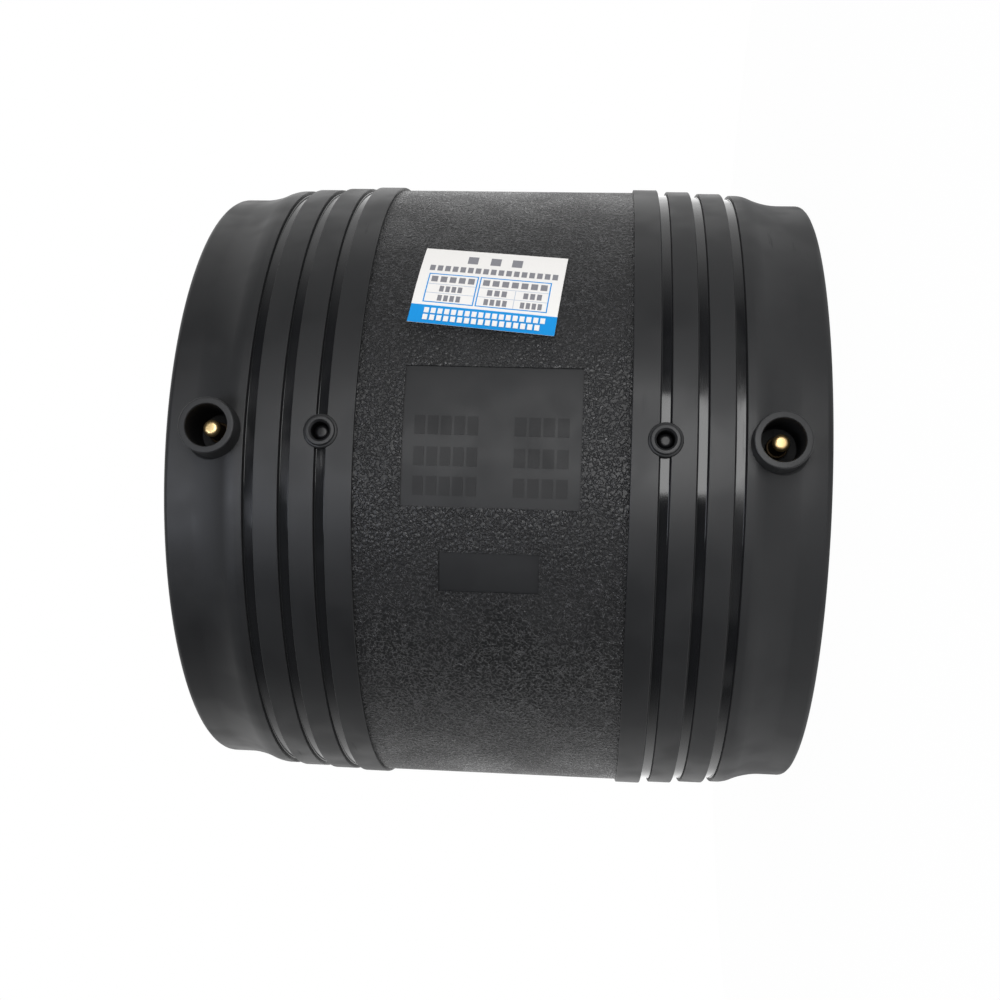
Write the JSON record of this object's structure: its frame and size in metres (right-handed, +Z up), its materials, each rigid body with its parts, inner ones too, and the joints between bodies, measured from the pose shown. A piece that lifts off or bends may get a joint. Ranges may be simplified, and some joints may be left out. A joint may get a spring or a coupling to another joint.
{
  "type": "electrofusion coupler",
  "caption": "Black polyethylene sleeve with a heating coil in its bore, which welds two plastic pipes end to end through two shrouded terminals.",
  "frame": {"origin": "centre of the lower end face, on the bore's axis", "axes": "+Z up along the bore axis, and -Y out of the front, where both terminals and the fusion indicators are"},
  "size_m": [0.1996, 0.2048, 0.184],
  "materials": {
    "black_polyethylene": "moulded, satin, with a leather grain on the band",
    "coil_winding": "resistance wire covered in polyethylene",
    "terminal_brass": "bright turned brass",
    "indicator_polyethylene": "satin moulded peg",
    "label_paper": "coated paper, white over a blue band"
  },
  "bodies": {
    "root": {"coupler_body": "black_polyethylene", "heating_coil": "coil_winding", "lower_terminal_pin": "terminal_brass", "upper_terminal_pin": "terminal_brass", "lower_fusion_indicator": "indicator_polyethylene", "upper_fusion_indicator": "indicator_polyethylene", "label": "label_paper"}
  },
  "joints": []
}
